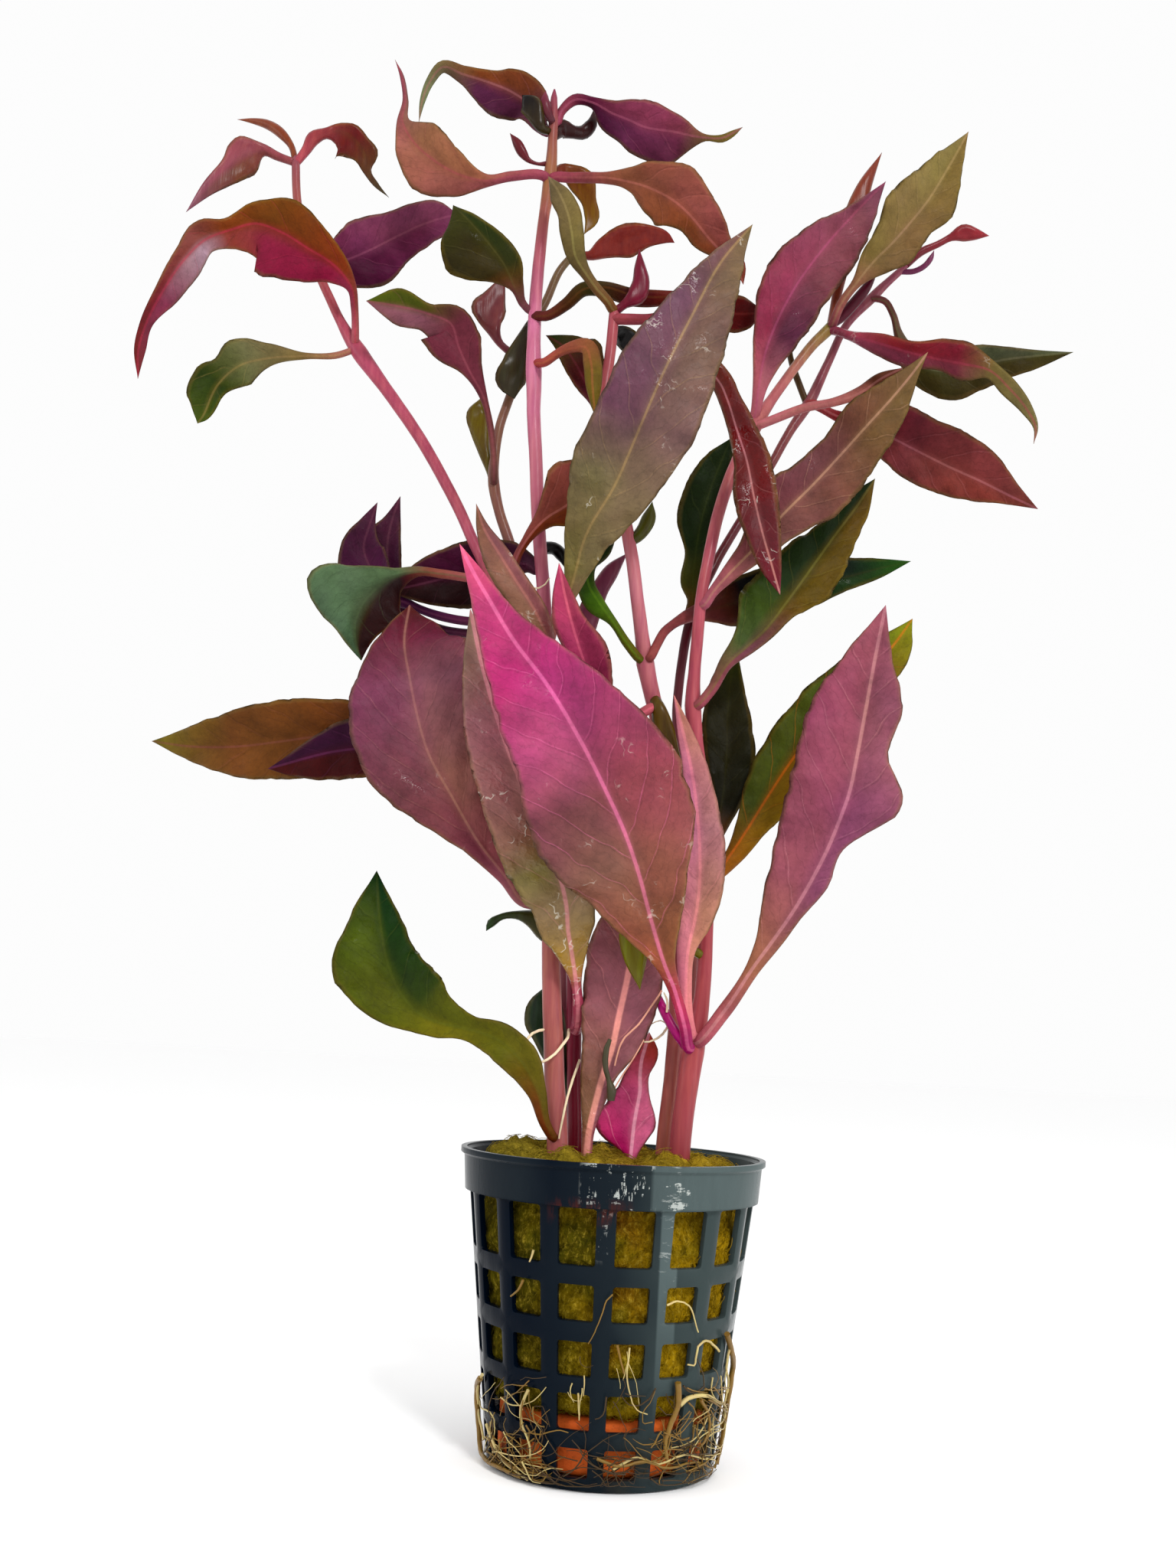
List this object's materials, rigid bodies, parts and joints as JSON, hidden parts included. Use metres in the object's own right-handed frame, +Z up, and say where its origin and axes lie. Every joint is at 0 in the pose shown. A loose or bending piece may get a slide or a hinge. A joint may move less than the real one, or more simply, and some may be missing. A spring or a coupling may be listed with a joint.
{
  "type": "potted aquarium plant",
  "caption": "Red-leaved stem plant for an aquarium, rooted in a rockwool plug over a clay ring in a black lattice net pot, with lance-shaped purple, brown and green leaves.",
  "frame": {"origin": "centre of the flat underside of the net pot", "axes": "+Z up along the pot's axis, -Y towards the front of the plant, +X to the viewer's right"},
  "size_m": [0.1709, 0.0556, 0.25],
  "materials": {
    "clay": "matt fired clay",
    "leaf_a2_big": "satin, moist skin with a clear sheen",
    "leaf_a2_left": "satin, moist skin with a clear sheen",
    "leaf_a3_right": "satin, moist skin with a clear sheen",
    "leaf_a4_back": "satin, moist skin with a clear sheen",
    "leaf_a4_curl": "satin, moist skin with a clear sheen",
    "leaf_a4_twin": "satin, moist skin with a clear sheen",
    "leaf_a5_round": "satin, moist skin with a clear sheen",
    "leaf_a6_brown": "satin, moist skin with a clear sheen",
    "leaf_a6_purple": "satin, moist skin with a clear sheen",
    "leaf_a7_low": "satin, moist skin with a clear sheen",
    "leaf_b1_left": "satin, moist skin with a clear sheen",
    "leaf_b1_right": "satin, moist skin with a clear sheen",
    "leaf_b2_left": "satin, moist skin with a clear sheen",
    "leaf_b2_right": "satin, moist skin with a clear sheen",
    "leaf_b3_left": "satin, moist skin with a clear sheen",
    "leaf_b3_right": "satin, moist skin with a clear sheen",
    "leaf_b4_right": "satin, moist skin with a clear sheen",
    "leaf_b5_front": "satin, moist skin with a clear sheen",
    "leaf_b6_arch": "satin, moist skin with a clear sheen",
    "leaf_b6_left": "satin, moist skin with a clear sheen",
    "leaf_b7_left": "satin, moist skin with a clear sheen",
    "leaf_c3_left": "satin, moist skin with a clear sheen",
    "leaf_c4_right": "satin, moist skin with a clear sheen",
    "leaf_d1_right": "satin, moist skin with a clear sheen",
    "leaf_d1_top": "satin, moist skin with a clear sheen",
    "leaf_d2_left": "satin, moist skin with a clear sheen",
    "leaf_d2_right": "satin, moist skin with a clear sheen",
    "leaf_d3_left": "satin, moist skin with a clear sheen",
    "leaf_d3_right": "satin, moist skin with a clear sheen",
    "leaf_d4_left": "satin, moist skin with a clear sheen",
    "leaf_e1_left": "satin, moist skin with a clear sheen",
    "leaf_e1_right": "satin, moist skin with a clear sheen",
    "leaf_e2_low": "satin, moist skin with a clear sheen",
    "leaf_e2_right": "satin, moist skin with a clear sheen",
    "leaf_e3_right": "satin, moist skin with a clear sheen",
    "leaf_e4_right": "satin, moist skin with a clear sheen",
    "leaf_e5_right": "satin, moist skin with a clear sheen",
    "leaf_e5_up": "satin, moist skin with a clear sheen",
    "leaf_e6_behind": "satin, moist skin with a clear sheen",
    "leaf_e6_front": "satin, moist skin with a clear sheen",
    "leaf_e6_right": "satin, moist skin with a clear sheen",
    "leaf_f1_right": "satin, moist skin with a clear sheen",
    "leaf_f2_right": "satin, moist skin with a clear sheen",
    "leaf_f3_left": "satin, moist skin with a clear sheen",
    "leaf_low_mauve": "satin, moist skin with a clear sheen",
    "leaf_low_pink": "satin, moist skin with a clear sheen",
    "pot_plastic": "moulded, semi-gloss, with lime marks",
    "rockwool": "matt matted fibre",
    "roots_front": "matt root skin",
    "roots_left": "matt root skin",
    "roots_right": "matt root skin",
    "stem_a": "smooth moist bark",
    "stem_b": "smooth moist bark",
    "stem_c": "smooth moist bark",
    "stem_d": "smooth moist bark",
    "stem_e": "smooth moist bark",
    "stem_f": "smooth moist bark"
  },
  "bodies": {
    "root": {"clay_ring": "clay", "leaf_a2_big": "leaf_a2_big", "leaf_a2_left": "leaf_a2_left", "leaf_a3_right": "leaf_a3_right", "leaf_a4_back": "leaf_a4_back", "leaf_a4_curl": "leaf_a4_curl", "leaf_a4_twin": "leaf_a4_twin", "leaf_a5_round": "leaf_a5_round", "leaf_a6_brown": "leaf_a6_brown", "leaf_a6_purple": "leaf_a6_purple", "leaf_a7_low": "leaf_a7_low", "leaf_b1_left": "leaf_b1_left", "leaf_b1_right": "leaf_b1_right", "leaf_b2_left": "leaf_b2_left", "leaf_b2_right": "leaf_b2_right", "leaf_b3_left": "leaf_b3_left", "leaf_b3_right": "leaf_b3_right", "leaf_b4_right": "leaf_b4_right", "leaf_b5_front": "leaf_b5_front", "leaf_b6_arch": "leaf_b6_arch", "leaf_b6_left": "leaf_b6_left", "leaf_b7_left": "leaf_b7_left", "leaf_c3_left": "leaf_c3_left", "leaf_c4_right": "leaf_c4_right", "leaf_d1_right": "leaf_d1_right", "leaf_d1_top": "leaf_d1_top", "leaf_d2_left": "leaf_d2_left", "leaf_d2_right": "leaf_d2_right", "leaf_d3_left": "leaf_d3_left", "leaf_d3_right": "leaf_d3_right", "leaf_d4_left": "leaf_d4_left", "leaf_e1_left": "leaf_e1_left", "leaf_e1_right": "leaf_e1_right", "leaf_e2_low": "leaf_e2_low", "leaf_e2_right": "leaf_e2_right", "leaf_e3_right": "leaf_e3_right", "leaf_e4_right": "leaf_e4_right", "leaf_e5_right": "leaf_e5_right", "leaf_e5_up": "leaf_e5_up", "leaf_e6_behind": "leaf_e6_behind", "leaf_e6_front": "leaf_e6_front", "leaf_e6_right": "leaf_e6_right", "leaf_f1_right": "leaf_f1_right", "leaf_f2_right": "leaf_f2_right", "leaf_f3_left": "leaf_f3_left", "leaf_low_mauve": "leaf_low_mauve", "leaf_low_pink": "leaf_low_pink", "net_pot": "pot_plastic", "rockwool": "rockwool", "roots_front": "roots_front", "roots_left": "roots_left", "roots_right": "roots_right", "stem_a": "stem_a", "stem_b": "stem_b", "stem_c": "stem_c", "stem_d": "stem_d", "stem_e": "stem_e", "stem_f": "stem_f"}
  },
  "joints": []
}
